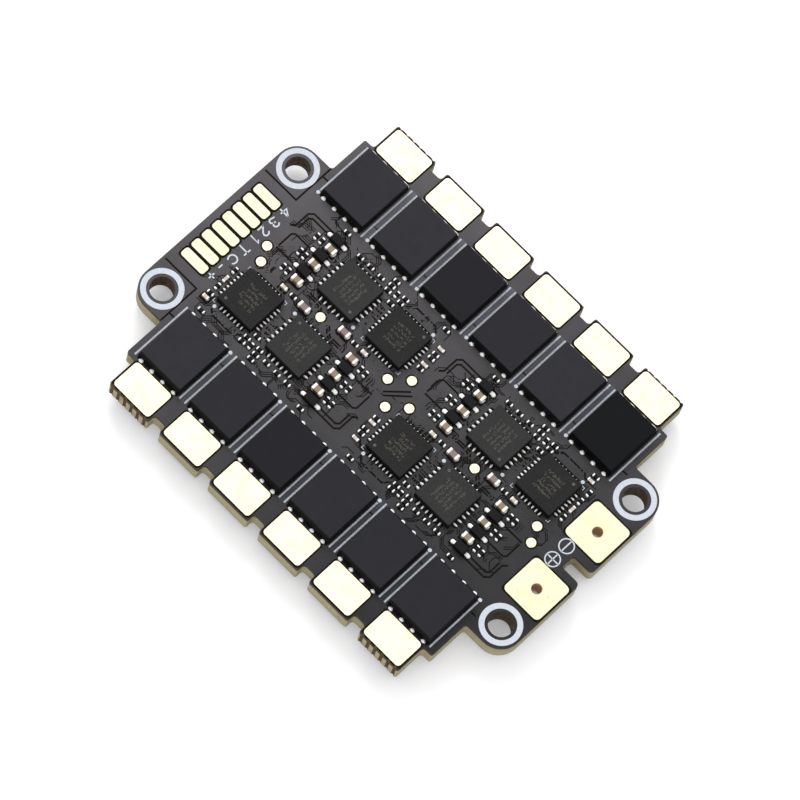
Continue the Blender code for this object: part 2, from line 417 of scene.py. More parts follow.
def solder_mask(name, pale, dark):
    """Matt black resist with a fine orange-peel relief and a cloudy tone, under a painted sheen:
    paler toward the signal end, darker toward the power end.
    """
    paint = Paint(name)
    place = paint.split(paint.space)
    # Painted sheen: the colour runs from dark to pale along a slant across the board, where the key
    # light's reflection falls off.
    slant = paint.math("SUBTRACT", place["Y"], place["X"])
    painted_sheen = paint.between(slant, 0.0, 1.0, -SHEEN_REACH * MM, SHEEN_REACH * MM)
    cloud = paint.between(paint.noise(0.35, 2.0), 0.0, 1.0)
    # thick and thin are the cloudy tone's dark and pale ends, each laid on the painted sheen.
    thick = paint.mix(painted_sheen, shade(dark, 0.8), shade(pale, 0.88))
    thin = paint.mix(painted_sheen, shade(dark, 1.2), shade(pale, 1.12))
    speck = paint.between(paint.noise(9.0, 2.0), 0.0, 1.0, 0.55, 0.8)
    # The specks follow the same painted sheen.
    grain = paint.mix(painted_sheen, shade(dark, 1.6), shade(pale, 1.3))
    paint.colour(paint.mix(speck, paint.mix(cloud, thick, thin), grain))
    paint.gloss(0.42, 0.05, 1.3)
    paint.relief((paint.noise(1.1, 2.0), 0.009), (paint.noise(14.0, 3.0), 0.0016))
    paint.fixed(specular=0.22)
    return paint.material


# Depths below the top where the dark rim of a cut side starts and is full.
RIM_FADE = (0.52, 0.22)


def board_core():
    """Uncovered board: near black under the resist openings, partly laminate and partly painted
    shade round parts and leads, beige glass and resin on the cut sides.
    """
    paint = Paint("board_core")
    plies = paint.noise(2.6, 2.0, 0.4, (0.04, 0.04, 1.0))
    fibre = paint.noise(7.0, 3.0, 0.6, (0.5, 0.5, 2.2))
    resin = paint.mix(paint.between(plies, 0.0, 1.0), (0.30, 0.262, 0.142), (0.40, 0.352, 0.210))
    pale = paint.mix(paint.between(fibre, 0.0, 0.4), resin, (0.47, 0.43, 0.33))
    stain = paint.between(paint.noise(1.6, 3.0, 0.6), 0.0, 0.7, 0.60, 0.72)
    side = paint.mix(stain, pale, (0.20, 0.16, 0.09))
    rim_start, rim_full = ((BOARD_TOP - depth) * MM for depth in RIM_FADE)
    is_rim = paint.between(paint.split(paint.space)["Z"], 0.0, 1.0, rim_start, rim_full)
    side = paint.mix(is_rim, side, (0.045, 0.032, 0.020))
    under = paint.mix(paint.noise(1.2), (0.030, 0.029, 0.031), (0.045, 0.043, 0.046))
    # The near black top floors every mask opening and groove: laminate, and painted shade round the
    # small parts and the leads.
    above = paint.mix(paint.noise(5.0), (0.004, 0.003, 0.002), (0.012, 0.009, 0.006))
    is_up = paint.between(paint.upward(), 0.0, 1.0, -0.1, 0.1)
    faces = paint.mix(is_up, under, above)
    paint.colour(paint.mix(paint.flat(0.45, 0.55), side, faces))
    paint.gloss(0.7, 0.08, 2.0)
    paint.relief((fibre, 0.004))
    paint.fixed(specular=0.1)
    return paint.material


def gold_plate(name, colour):
    """Bright gold on copper pads, faintly dimpled, with a soft stain here and there."""
    paint = Paint(name)
    stain = paint.between(paint.noise(0.9, 3.0), 0.0, 1.0, 0.45, 0.75)
    stained = (colour[0], colour[1] * 0.96, colour[2] * 0.85)
    plate = paint.mix(stain, colour, stained)
    speck = paint.between(paint.noise(6.0, 2.0), 0.0, 1.0, 0.66, 0.74)
    paint.colour(paint.mix(speck, plate, shade(stained, 0.75)))
    paint.gloss(0.30, 0.05, 1.5)
    paint.relief((paint.noise(5.0, 3.0), 0.0012), (paint.noise(0.8, 2.0), 0.0025))
    paint.fixed(metallic=1.0)
    return paint.material


def chip_mould(name, colour, specular, speckle):
    """Black epoxy package: filler speckle on its face, duller sides, and painted shade that sets the
    sides near black.
    """
    paint = Paint(name)
    fill = paint.between(paint.noise(16.0, 2.0, 0.6), 0.0, 1.0, 0.5, 0.72)
    cloud = paint.between(paint.noise(0.8, 2.0), 0.0, 1.0)
    base = paint.mix(cloud, shade(colour, 0.9), shade(colour, 1.1))
    face = paint.mix(fill, base, shade(colour, speckle))
    is_face = paint.flat(0.4, 0.7)
    # Painted shade: upright faces get a near black colour, darker than the face, for the light they
    # miss.
    side = paint.mix(fill, (0.0015, 0.0015, 0.0017), (0.004, 0.004, 0.004))
    paint.colour(paint.mix(is_face, side, face))
    rough = paint.between(paint.noise(2.5), 0.42, 0.54)
    paint.links.new(paint.blend(is_face, 0.8, rough), paint.surface.inputs["Roughness"])
    paint.relief((paint.noise(13.0, 3.0), 0.003))
    paint.fixed(specular=specular)
    return paint.material


# Each mask's pale and dark colours are the two ends of its painted sheen across the board.
mask = solder_mask("solder_mask", (0.081, 0.0755, 0.079), (0.0150, 0.0145, 0.0160))
mask_on_copper = solder_mask("solder_mask_on_copper", (0.112, 0.115, 0.132), (0.012, 0.016, 0.022))
core = board_core()
gold = gold_plate("gold_bright", (1.0, 0.93, 0.66))
# A duller, darker gold for the battery and signal pads.
gold_dull = gold_plate("gold_soft", (0.785, 0.755, 0.545))
silk = grainy("silkscreen_ink", (0.58, 0.62, 0.68), 0.10, 0.6, 0.08, 9.0, 0.004, specular=0.4)
silk_thin = grainy("silkscreen_thin", (0.46, 0.48, 0.53), 0.25, 0.6, 0.08, 9.0, 0.004, specular=0.4)
# Solder near white and almost matt: bright as solder is, and whitened further as a painted glint.
solder = grainy("solder_white_glint", (0.97, 0.97, 0.97), 0.03, 0.22, 0.07, 7.0, 0.008, metallic=0.12)
tinned = grainy("tinned_ends", (0.93, 0.86, 0.78), 0.06, 0.30, 0.07, 8.0, 0.004, metallic=0.15)
tinned_white = grainy("tinned_white", (0.96, 0.96, 0.95), 0.05, 0.28, 0.07, 8.0, 0.006, metallic=0.1)
ceramic = grainy("ceramic_brown", (0.25, 0.18, 0.105), 0.12, 0.45, 0.08, 10.0, 0.003)
ceramic_grey = grainy("ceramic_grey", (0.215, 0.165, 0.15), 0.12, 0.45, 0.08, 10.0, 0.003)
ceramic_pale = grainy("ceramic_pale", (0.58, 0.50, 0.44), 0.10, 0.5, 0.08, 10.0, 0.003)
resistor_black = grainy(
    "resistor_black", (0.004, 0.004, 0.005), 0.3, 0.5, 0.08, 10.0, 0.003, specular=0.14
)
shunt_metal = grainy("shunt_metal", (0.55, 0.50, 0.45), 0.08, 0.38, 0.06, 6.0, 0.004, metallic=1.0)
# Dark brown: the drilled laminate's own brown, darkened further as painted shade inside the screw
# holes.
hole_brown = grainy(
    "drilled_laminate_and_shade", (0.080, 0.048, 0.020), 0.5, 0.65, 0.08, 3.0, 0.02, specular=0.12
)
barrel = grainy(
    "hole_barrel", (0.56, 0.35, 0.17), 0.25, 0.4, 0.08, 5.0, 0.006, metallic=0.3, specular=0.3
)
laser_mark = grainy("laser_mark", (0.088, 0.080, 0.058), 0.45, 0.7, 0.08, 20.0, 0.001)
# Copies of one transistor mould in four tones, pale to darkest: each top listed below gets its own,
# the rest the middle one.
TRANSISTOR_TONES = {
    "pale": chip_mould("transistor_mould_pale", (0.0138, 0.0132, 0.0182), 0.2, 1.25),
    "middle": chip_mould("transistor_mould_middle", (0.0088, 0.0084, 0.0124), 0.2, 1.25),
    "dark": chip_mould("transistor_mould_dark", (0.0043, 0.0040, 0.0068), 0.17, 1.3),
    "darkest": chip_mould("transistor_mould_darkest", (0.0025, 0.0027, 0.0035), 0.1, 1.3),
}
TONE_OF = {
    "mosfet_top_m4_a": "pale",
    "mosfet_top_m4_b": "pale",
    "mosfet_top_m4_c": "dark",
    "mosfet_top_m2_b": "pale",
    "mosfet_top_m2_c": "darkest",
    "mosfet_top_m3_a": "pale",
    "mosfet_top_m3_c": "dark",
}
driver_black = chip_mould("driver_mould", (0.0113, 0.0113, 0.0118), 0.24, 3.4)
controller_black = chip_mould("controller_mould", (0.0066, 0.0066, 0.0064), 0.17, 4.2)


def dress(name, material):
    """Gives a CAD node its finish."""
    obj = NODES[name]
    obj.data.materials.clear()
    obj.data.materials.append(material)


dress("circuit_board", core)
dress("current_shunt", shunt_metal)
dress("current_amplifier", driver_black)
dress("voltage_regulator", driver_black)
for name in DRIVERS:
    dress(name, driver_black)
for name in CONTROLLERS:
    dress(name, controller_black)
for name in TOP_TRANSISTORS + UNDER_TRANSISTORS:
    dress(name, TRANSISTOR_TONES[TONE_OF.get(name, "middle")])
for name in MOTOR_PADS:
    dress(name, gold)
for name in POWER_PADS + SIGNAL_PADS:
    dress(name, gold_dull)


# -------- solder mask with its openings


def board_edges():
    """The closed outlines of the board's upper face, from the CAD board's own mesh."""
    mesh = NODES["circuit_board"].data
    top = BOARD_TOP * MM
    uses = {}
    for face in mesh.polygons:
        if face.normal.z < 0.9 or abs(face.center.z - top) > 0.005 * MM:
            continue
        loop = []
        for i in face.vertices:
            place = mesh.vertices[i].co
            loop.append((round(place.x / MM, 4), round(place.y / MM, 4)))
        for a, b in zip(loop, loop[1:] + loop[:1]):
            uses[(a, b)] = uses.get((a, b), 0) + 1
    follows = {a: b for (a, b) in uses if (b, a) not in uses and a != b}
    outlines = []
    while follows:
        start, point = follows.popitem()
        outline = [start]
        while point != start and point in follows:
            outline.append(point)
            point = follows.pop(point)
        outlines.append(outline)
    return outlines


def anticlockwise(outline):
    """The outline, turned round if it runs clockwise."""
    ends = zip(outline, outline[1:] + outline[:1])
    doubled = sum(a[0] * b[1] - b[0] * a[1] for a, b in ends)
    return outline if doubled > 0 else outline[::-1]


def span(outline):
    """Larger side of an outline's box."""
    xs = [p[0] for p in outline]
    ys = [p[1] for p in outline]
    return max(max(xs) - min(xs), max(ys) - min(ys))


EDGES = sorted(map(anticlockwise, board_edges()), key=span, reverse=True)
LARGEST_HOLE = 2.4
SMALLEST_SCREW_HOLE = 1.5
OUTLINE = EDGES[0]
HOLES = [e for e in EDGES[1:] if span(e) < LARGEST_HOLE]
SCREWS = [
    (sum(x for x, _ in hole) / len(hole), sum(y for _, y in hole) / len(hole))
    for hole in HOLES
    if span(hole) > SMALLEST_SCREW_HOLE
]

PAD_CLEARANCE = 0.155
PAD_CORNER = 0.36
SIGNAL_CLEARANCE = 0.17
SIGNAL_CORNER = 0.3
TEST_POINT = 0.435
TEST_POINT_CLEARANCE = 0.13

openings = list(HOLES)
for names, clearance, corner in (
    (MOTOR_PADS + POWER_PADS, PAD_CLEARANCE, PAD_CORNER),
    (SIGNAL_PADS, SIGNAL_CLEARANCE, SIGNAL_CORNER),
):
    for name in names:
        x, y, _ = node_centre(name)
        wide, deep, _ = node_size(name)
        openings.append(rounded(x, y, wide + 2 * clearance, deep + 2 * clearance, corner))

CENTRE_POINTS = [(-1.55, 0.28), (-0.05, 1.66), (1.53, -0.24), (0.05, -1.62)]
LEFT_POINTS = [(-16.8, 1.17), (-16.15, -0.2), (-9.25, 0.0)]
RIGHT_POINTS = [(8.97, 0.05), (16.07, 0.29), (16.74, -1.10)]
TEST_POINTS = LEFT_POINTS + CENTRE_POINTS + RIGHT_POINTS
for x, y in TEST_POINTS:
    openings.append(circle(x, y, TEST_POINT + TEST_POINT_CLEARANCE))

# The gap that breaks the strip between two transistors.
COLUMNS = sorted({round(node_centre(n)[0], 3) for n in TOP_TRANSISTORS})
BAND_BREAK = (9.02, 9.12)
BREAK_MIDDLE = sum(BAND_BREAK) / 2
BREAK_WIDTH = BAND_BREAK[1] - BAND_BREAK[0]
for x, after in zip(COLUMNS, COLUMNS[1:]):
    for side in (1, -1):
        openings.append(rounded((x + after) / 2, side * BREAK_MIDDLE, 0.5, BREAK_WIDTH, 0.02, 1))

# The logic chips, with the number and pitch of the leads on each of their sides.
CHIP_LEADS = ((DRIVERS, (6, 0.5)), (CONTROLLERS, (7, 0.4)))
# The openings round the leads show the near black core between them: board, and painted shade at the
# packages' feet.
LEAD_SKIRT = 0.40
TRANSISTOR_SKIRT = 0.22
for names, (count, pitch) in CHIP_LEADS:
    for name in names:
        x, y, _ = node_centre(name)
        wide, deep, _ = node_size(name)
        row = count * pitch + 0.12
        openings.append(rounded(x, y, wide + 2 * LEAD_SKIRT, row, 0.08, 2))
        openings.append(rounded(x, y, row, deep + 2 * LEAD_SKIRT, 0.08, 2))
for name in TOP_TRANSISTORS:
    x, y, _ = node_centre(name)
    wide, deep, _ = node_size(name)
    openings.append(rounded(x, y, wide - 0.1, deep + 2 * TRANSISTOR_SKIRT, 0.1, 2))

# Two grooves cross in the middle, others border the lugs, and the rest run in the blocks.
GROOVE = 0.17
SHOULDER = 9.05
BLOCK_GROOVES = (
    [(-3.2, 6.13), (-7.3, 6.13), (-7.67, 5.76), (-7.67, 4.3), (-7.95, 4.0)],
    [(-5.4, 5.72), (-7.1, 5.72), (-7.35, 5.47), (-7.35, 4.35)],
    [(-5.2, 3.69), (-7.1, 3.69), (-7.35, 3.45), (-7.35, 2.0)],
    [(-5.2, 1.69), (-7.3, 1.69)],
    [(3.8, 6.0), (4.3, 6.55), (6.7, 6.55), (7.1, 6.2)],
    [(-3.0, 0.62), (-1.3, 0.62), (-0.7, 0.05)],
    [(-3.0, 0.85), (-1.2, 0.85), (-0.5, 0.15)],
    [(2.28, 4.75), (2.28, 3.1)],
    [(2.52, 4.6), (2.52, 3.1)],
    [(2.76, 4.4), (2.76, 3.2)],
)
grooves = [
    [(-1.0, -0.75), (0.55, 0.85)],
    [(-0.7, -0.95), (0.9, 0.65)],
]
for side in (1, -1):
    grooves.append([(-21.7, side * 5.88), (-18.1, side * 5.88), (-18.1, side * 10.0)])
    for x, inward in ((-18.0, -17.5), (18.0, 17.5)):
        grooves.append([(x, side * SHOULDER), (inward, side * SHOULDER)])
for block in BLOCKS:
    for route in BLOCK_GROOVES:
        grooves.append([block.at(x, y) for x, y in route])
for path in grooves:
    openings.append(ribbon(path, GROOVE))


def wander(x, y, heading, runs):
    """The course of a fine track: straight runs joined by 45 degree bends."""
    path = [(x, y)]
    for _ in range(runs):
        length = seeded.uniform(0.3, 0.85)
        x += length * math.cos(math.radians(45 * heading))
        y += length * math.sin(math.radians(45 * heading))
        path.append((x, y))
        heading += seeded.choice((-1, 1))
    return path


FINE_GROOVE = 0.08
FINE_PITCH = 0.19
FINE_BUNDLES = 105
for block in BLOCKS:
    for _ in range(FINE_BUNDLES):
        x, y = block.at(seeded.uniform(-7.6, 8.4), seeded.uniform(0.4, 6.9))
        heading = seeded.randrange(8)
        path = wander(x, y, heading, seeded.randint(2, 4))
        side_x = -math.sin(math.radians(45 * heading)) * FINE_PITCH
        side_y = math.cos(math.radians(45 * heading)) * FINE_PITCH
        for lane in range(seeded.randint(1, 3)):
            shifted = [(px + side_x * lane, py + side_y * lane) for px, py in path]
            openings.append(ribbon(shifted, FINE_GROOVE))


def cut_sheet(outline, cuts):
    """Triangles of the outline less the cuts, as plan points and index triples."""
    points = []
    faces = []
    for loop in [outline] + cuts:
        first = len(points)
        points.extend(Vector(p) for p in loop)
        faces.append(list(range(first, len(points))))
    plan, _, triangles, _, _, origins = delaunay_2d_cdt(points, [], faces, 1, 1e-5)
    kept = [t for t, origin in zip(triangles, origins) if set(origin) == {0}]
    return [tuple(p) for p in plan], kept


def sheet(shape, points, triangles, low, high):
    """Gives a flat triangulated area a thickness."""
    used = {}
    for triangle in triangles:
        a, b, c = (points[i] for i in triangle)
        if (b[0] - a[0]) * (c[1] - a[1]) - (b[1] - a[1]) * (c[0] - a[0]) < 0:
            triangle = triangle[::-1]
        used[tuple(triangle)] = True
    solid = lifted(points, high) + lifted(points, low)
    under = len(points)
    faces = []
    edges = {}
    for triangle in used:
        faces.append(list(triangle))
        faces.append([under + i for i in triangle[::-1]])
        for a, b in zip(triangle, triangle[1:] + triangle[:1]):
            edges[(a, b)] = True
    for a, b in edges:
        if (b, a) not in edges:
            faces.append([b, a, under + a, under + b])
    shape.add(solid, faces)


# -------- tracks raised under the mask

# Bundles of like tracks: how many, the step from one to the next, and the first one's route.
TRACK = 0.12
BUNDLES = (
    (5, (0.0, 0.24), [(2.2, 1.0), (2.9, 1.0), (3.15, 1.25)]),
    (4, (0.26, 0.0), [(-6.9, 1.45), (-6.9, 0.75), (-6.5, 0.35)]),
    (3, (0.0, 0.27), [(7.9, 0.5), (8.6, 0.5)]),
)
raised = Shape()
for block in BLOCKS:
    for count, (step_x, step_y), route in BUNDLES:
        for i in range(count):
            path = [block.at(x + i * step_x, y + i * step_y) for x, y in route]
            raised.prism(ribbon(path, TRACK), MASK_TOP, TRACK_TOP)

FAN_TRACK = 0.13
FAN_START = 2.42
HAIR = 0.0004


def fan_out(name, count, pitch):
    """Short tracks that leave a package's leads, each a hair higher than the last."""
    x, y, _ = node_centre(name)
    for side in range(4):
        out_x = math.cos(math.radians(90 * side))
        out_y = math.sin(math.radians(90 * side))
        for i in range(count):
            slide = (i - (count - 1) / 2) * pitch
            end = FAN_START + seeded.uniform(0.15, 0.75)
            jog = seeded.choice((-0.25, 0.0, 0.25))
            plan = [(FAN_START, slide), (end, slide), (end + 0.3, slide + jog)]
            path = [(x + out_x * u - out_y * v, y + out_y * u + out_x * v) for u, v in plan]
            step = HAIR * (i + 8 * side)
            raised.prism(ribbon(path, FAN_TRACK), MASK_TOP, TRACK_TOP + step)


for names, (count, pitch) in CHIP_LEADS:
    for name in names:
        fan_out(name, count, pitch)

VIA = (0.12, 0.22)
VIA_TOP = TRACK_TOP + 0.01
VIAS_BY_DRIVER = [(-7.6, 0.9), (-6.5, 2.5), (-6.28, 4.65), (-2.75, 0.75), (-2.3, 6.35), (0.9, 7.0)]
VIAS_BY_CONTROLLER = [(2.5, 3.0), (3.9, 7.1), (5.3, 0.55), (5.75, 0.25), (6.3, 0.6), (6.6, 0.2)]
for block in BLOCKS:
    for x, y in VIAS_BY_DRIVER + VIAS_BY_CONTROLLER:
        raised.ring(*block.at(x, y), *VIA, MASK_TOP, VIA_TOP, 20)
piece("raised_tracks", raised, mask)


# -------- silkscreen

INK = 0.16
INK_DEPTH = SILK_TOP - MASK_TOP
DOT = 0.17
marks = Shape()
outlines = Shape()
bands = Shape()


def line(path, width=INK, ink=marks, low=MASK_TOP, high=SILK_TOP):
    """A printed line."""
    ink.prism(ribbon(path, width), low, high)


def dot(x, y, low=MASK_TOP, high=SILK_TOP):
    """A printed pin 1 dot."""
    marks.prism(circle(x, y, DOT, 20), low, high)


# Rings round the screw holes. The lower ones lie on the board's own raised rings.
LAND = (1.37, 1.86)
UNDER_LAND = BOARD_BOTTOM - 0.02
UPPER_INK = (MASK_TOP, SILK_TOP)
LOWER_INK = (BOARD_BOTTOM - INK_DEPTH, BOARD_BOTTOM)
for x, y in SCREWS:
    marks.ring(x, y, *LAND, *UPPER_INK)
    marks.ring(x, y, *LAND, UNDER_LAND - INK_DEPTH, UNDER_LAND)

# A line down each side of a transistor, a dot at one end, and a strip between neighbours.
LINE_LEFT = -2.62
LINE_RIGHT = 2.67
LINE_END = 13.65
LEFT_START = 8.1
RIGHT_START = 7.65
DOT_PLACE = 7.77
STRIPS = ((7.6, BAND_BREAK[0]), (BAND_BREAK[1], 13.8))
STRIP_GAP = 0.1
for side in (1, -1):
    for x in COLUMNS:
        left = x + side * LINE_LEFT
        right = x + side * LINE_RIGHT
        for ink in (UPPER_INK, LOWER_INK):
            line([(left, side * LEFT_START), (left, side * LINE_END)], INK, outlines, *ink)
            line([(right, side * RIGHT_START), (right, side * LINE_END)], INK, outlines, *ink)
            dot(left, side * DOT_PLACE, *ink)
    for x, after in zip(COLUMNS, COLUMNS[1:]):
        low = x + max(side * LINE_LEFT, side * LINE_RIGHT) + STRIP_GAP
        high = after + min(side * LINE_LEFT, side * LINE_RIGHT) - STRIP_GAP
        for start, end in STRIPS:
            height = side * (start + end) / 2
            strip = rounded((low + high) / 2, height, high - low, end - start, 0.02, 1)
            bands.prism(strip, MASK_TOP, TRACK_TOP)

# Two pin 1 dots in each block, and three corner brackets round its microcontroller.
BRACKET = 2.2
BRACKET_ARM = 0.25
BRACKET_INK = 0.06
for block in BLOCKS:
    dot(*block.at(7.12, 5.86))
    dot(*block.at(2.09, 1.36))
    x, y, _ = node_centre(f"microcontroller_{block.channel}")
    for sx, sy in ((1, -1), (-1, -1), (1, 1)):
        sx, sy = sx * block.sign, sy * block.sign
        corner = (x + sx * BRACKET, y + sy * BRACKET)
        along = (corner[0] - sx * BRACKET_ARM, corner[1])
        down = (corner[0], corner[1] - sy * BRACKET_ARM)
        line([along, corner, down], BRACKET_INK, outlines)

# The signs beside the signal pads. A stroke's points run across, then up.
GLYPH_FOOT = -18.35
GLYPH_HALF = 0.31
GLYPH_INK = 0.13
FOUR = [[(0.42, 0.0), (0.42, 0.9)], [(0.42, 0.9), (0.0, 0.28), (0.62, 0.28)]]
THREE_TOP = [(0.05, 0.78), (0.18, 0.88), (0.42, 0.88), (0.55, 0.74), (0.55, 0.60), (0.40, 0.47)]
THREE_FOOT = [(0.24, 0.47), (0.40, 0.47), (0.58, 0.32), (0.58, 0.15), (0.44, 0.02), (0.02, 0.10)]
TWO_TOP = [(0.04, 0.74), (0.18, 0.88), (0.42, 0.88), (0.56, 0.72), (0.50, 0.50), (0.04, 0.02)]
TWO_FOOT = [(0.04, 0.02), (0.60, 0.02)]
ONE = [(0.16, 0.70), (0.34, 0.88), (0.34, 0.0)]
LETTER_T = [[(0.0, 0.86), (0.62, 0.86)], [(0.31, 0.86), (0.31, 0.0)]]
LETTER_C = arc(0.34, 0.45, 0.40, 45, 315, 14)
MINUS = [(0.14, 0.2), (0.46, 0.2)]
PLUS = [[(0.05, 0.3), (0.55, 0.3)], [(0.30, 0.05), (0.30, 0.55)]]
GLYPHS = (
    (4.42, FOUR),
    (3.10, [THREE_TOP, THREE_FOOT]),
    (1.92, [TWO_TOP, TWO_FOOT]),
    (0.83, [ONE]),
    (-0.50, LETTER_T),
    (-1.78, [LETTER_C]),
    (-3.00, [MINUS]),
    (-4.15, PLUS),
)
for y, strokes in GLYPHS:
    for stroke in strokes:
        line([(GLYPH_FOOT + v, y + GLYPH_HALF - u) for u, v in stroke], GLYPH_INK)

# The circled plus and minus between the battery pads.
POLE_X = 18.96
POLE = 0.65
POLE_INK = 0.11
POLE_BAR = POLE - POLE_INK / 2
for y, crossed in ((0.86, False), (-0.81, True)):
    marks.ring(POLE_X, y, POLE_BAR, POLE_BAR + POLE_INK, *UPPER_INK)
    line([(POLE_X, y - POLE_BAR), (POLE_X, y + POLE_BAR)], POLE_INK)
    if crossed:
        for side in (1, -1):
            line([(POLE_X + side * POLE_INK / 2, y), (POLE_X + side * POLE_BAR, y)], POLE_INK)

piece("silkscreen_marks", marks, silk)
piece("silkscreen_outlines", outlines, silk_thin)
piece("mask_bands", bands, mask_on_copper)


# -------- test points, holes and bites

TEST_POINT_BEVEL = 0.03
discs = Shape()
for x, y in TEST_POINTS:
    loops = []
    for inset, z in ((0.0, BOARD_TOP), (0.0, PAD_TOP - 0.02), (TEST_POINT_BEVEL, PAD_TOP)):
        loops.append(lifted(circle(x, y, TEST_POINT - inset, 28), z))
    discs.loft(loops)
piece("test_points", discs, gold)

BARREL = (0.455, 0.495)
barrels = Shape()
for name in POWER_PADS:
    x, y, _ = node_centre(name)
    barrels.ring(x, y, *BARREL, BOARD_BOTTOM, PAD_TOP - 0.015, 40)
piece("hole_barrels", barrels, barrel)

SCREW_RADIUS = span(HOLES[0]) / 2
LINING = (SCREW_RADIUS - 0.02, SCREW_RADIUS - 0.002)
# Rings of that dark brown inside the screw holes: laminate colour and painted shade of the hole.
linings = Shape()
for x, y in SCREWS:
    linings.ring(x, y, *LINING, BOARD_BOTTOM, BOARD_TOP + 0.01)
piece("screw_hole_walls", linings, hole_brown)

# The half round bites in the corner tabs, lined in dark brown until they are BITE_DEPTH_LEFT deep.
BITE_COUNT = 6
BITE_PITCH = 0.76
BITE_RADIUS = 0.17
BITE_DEPTH_LEFT = 0.065
BITE_SHIFT = BITE_RADIUS - BITE_DEPTH_LEFT
BITE_START = math.degrees(math.asin(BITE_SHIFT / BITE_RADIUS))
TAB_EDGE = max(y for _, y in OUTLINE)
bite_linings = Shape()
for x in (COLUMNS[0], COLUMNS[-1]):
    for side in (1, -1):
        for i in range(BITE_COUNT):
            bite_x = x + (i - (BITE_COUNT - 1) / 2) * BITE_PITCH
            start = 180 if side > 0 else 0
            first = start + BITE_START
            last = start + 180 - BITE_START
            wall = arc(bite_x, side * TAB_EDGE, BITE_RADIUS - 0.005, start, start + 180, 8)
            middle = side * (TAB_EDGE + BITE_SHIFT)
            hollow = arc(bite_x, middle, BITE_RADIUS, first, last, 8)
            bite_linings.prism(wall + hollow[::-1], BOARD_BOTTOM, MASK_TOP - 0.01)
piece("dark_bite_linings", bite_linings, hole_brown)


# -------- solder at the packages

QUARTER = math.radians(90)
package_solder = Shape()


def bead(x, y, along, across, height, heading, taper=0.0, low=BOARD_TOP):
    """One solder bead, a little unlike the next. With a negative height it hangs down."""
    stretch = seeded.uniform(0.88, 1.12)
    rise = height * seeded.uniform(0.85, 1.15)
    swing = heading + seeded.uniform(-0.1, 0.1)
    package_solder.dome(x, y, along * stretch, across, low, rise, swing, taper)


def lead_rows(name, count, pitch, reach, along, across, height):
    """Beads along all four sides of a flat package, nearer at +Y and wider at -X."""
    x, y, _ = node_centre(name)
    for side in range(4):
        heading = QUARTER * side
        out_x = math.cos(heading)
        out_y = math.sin(heading)
        for i in range(count):
            slide = (i - (count - 1) / 2) * pitch
            shown = reach - (0.07 if side == 1 else 0.0)
            px = x + out_x * shown - out_y * slide
            py = y + out_y * shown + out_x * slide
            wide = across * (1.3 if side == 2 else 1.0)
            bead(px, py, along, wide, height, heading, 0.2)


LEAD_BEADS = ((2.19, 0.25, 0.105, 0.17), (2.17, 0.22, 0.09, 0.15))
for (names, (count, pitch)), beads in zip(CHIP_LEADS, LEAD_BEADS):
    for name in names:
        lead_rows(name, count, pitch, *beads)

TRANSISTOR_REACH = 0.15
TRANSISTOR_LEADS = [(i - 1.5) * 1.27 for i in range(4)]
EGG = (0.19, 0.18)
EGG_HEIGHT = 0.15
EGG_TAPER = -0.6


def transistor_beads(name, low, height, long_behind):
    """Egg shaped beads at a transistor's leads, or long thin ones on its +Y side."""
    x, y, _ = node_centre(name)
    _, deep, _ = node_size(name)
    for out in (1, -1):
        edge = y + out * (deep / 2 + TRANSISTOR_REACH)
        for slide in TRANSISTOR_LEADS:
            if out > 0 and long_behind:
                bead(x + slide, edge - 0.01, 0.13, 0.42, 0.17, QUARTER)
            else:
                bead(x + slide, edge, *EGG, height, QUARTER * out, EGG_TAPER, low)


for name in TOP_TRANSISTORS:
    transistor_beads(name, BOARD_TOP, EGG_HEIGHT, node_centre(name)[1] > 0)
for name in UNDER_TRANSISTORS:
    transistor_beads(name, BOARD_BOTTOM, -EGG_HEIGHT, False)

# The other parts below: three leads a side, or the two ends of the shunt.
for name, pitch in (("voltage_regulator", 0.95), ("current_amplifier", 0.65)):
    x, y, _ = node_centre(name)
    _, deep, _ = node_size(name)
    for out in (1, -1):
        edge = y + out * (deep / 2 + 0.12)
        for slide in (-pitch, 0.0, pitch):
            bead(x + slide, edge, 0.26, 0.17, -0.18, QUARTER * out, 0.2, BOARD_BOTTOM)
x, y, _ = node_centre("current_shunt")
wide, deep, _ = node_size("current_shunt")
for out in (1, -1):
    bead(x + out * wide / 2, y, 0.35, deep * 0.47, -0.35, 0.0, 0.0, BOARD_BOTTOM)
piece("package_solder", package_solder, solder)


# -------- small parts

ENDS = ((1, 0.0), (-1, math.pi))
bodies_brown = Shape()
bodies_grey = Shape()
bodies_pale = Shape()
bodies_black = Shape()
caps = Shape()
tiny_caps = Shape()
small_solder = Shape()


def bare_and_shaded(place, length, width, upright=False):
    """Opens the solder mask round a small part, wider than its pads, so that the near black floor
    paints the part's shadow.
    """
    size = (width, length) if upright else (length, width)
    openings.append(rounded(*place, *size, 0.06, 1))


def small_bead(x, y, along, across, height, heading, taper=0.0):
    """The solder at one end of a small part."""
    small_solder.dome(x, y, along, across, BOARD_TOP, height, heading, taper, 10, 3)


def chip_part(body, place, length, width, height, end):
    """A two-ended part: its body, a metal cap and a solder fillet at each end."""
    x, y = place
    low = BOARD_TOP + CONTACT_GAP
    # The opening is set wide and shifted toward -Y, so its dark floor is painted shadow on that
    # side.
    bare_and_shaded((x, y - 0.06), length + 0.34, width + 0.40)
    body.block(x, y, length - 2 * end * 0.8, width * 0.94, low, low + height * 0.96, 0.04)
    for way, heading in ENDS:
        caps.block(x + way * (length - end) / 2, y, end, width, low, low + height, 0.05)
        rise = height * seeded.uniform(0.3, 0.4)
        small_bead(x + way * length / 2, y, end * 0.35, width * 0.44, rise, heading, 0.2)


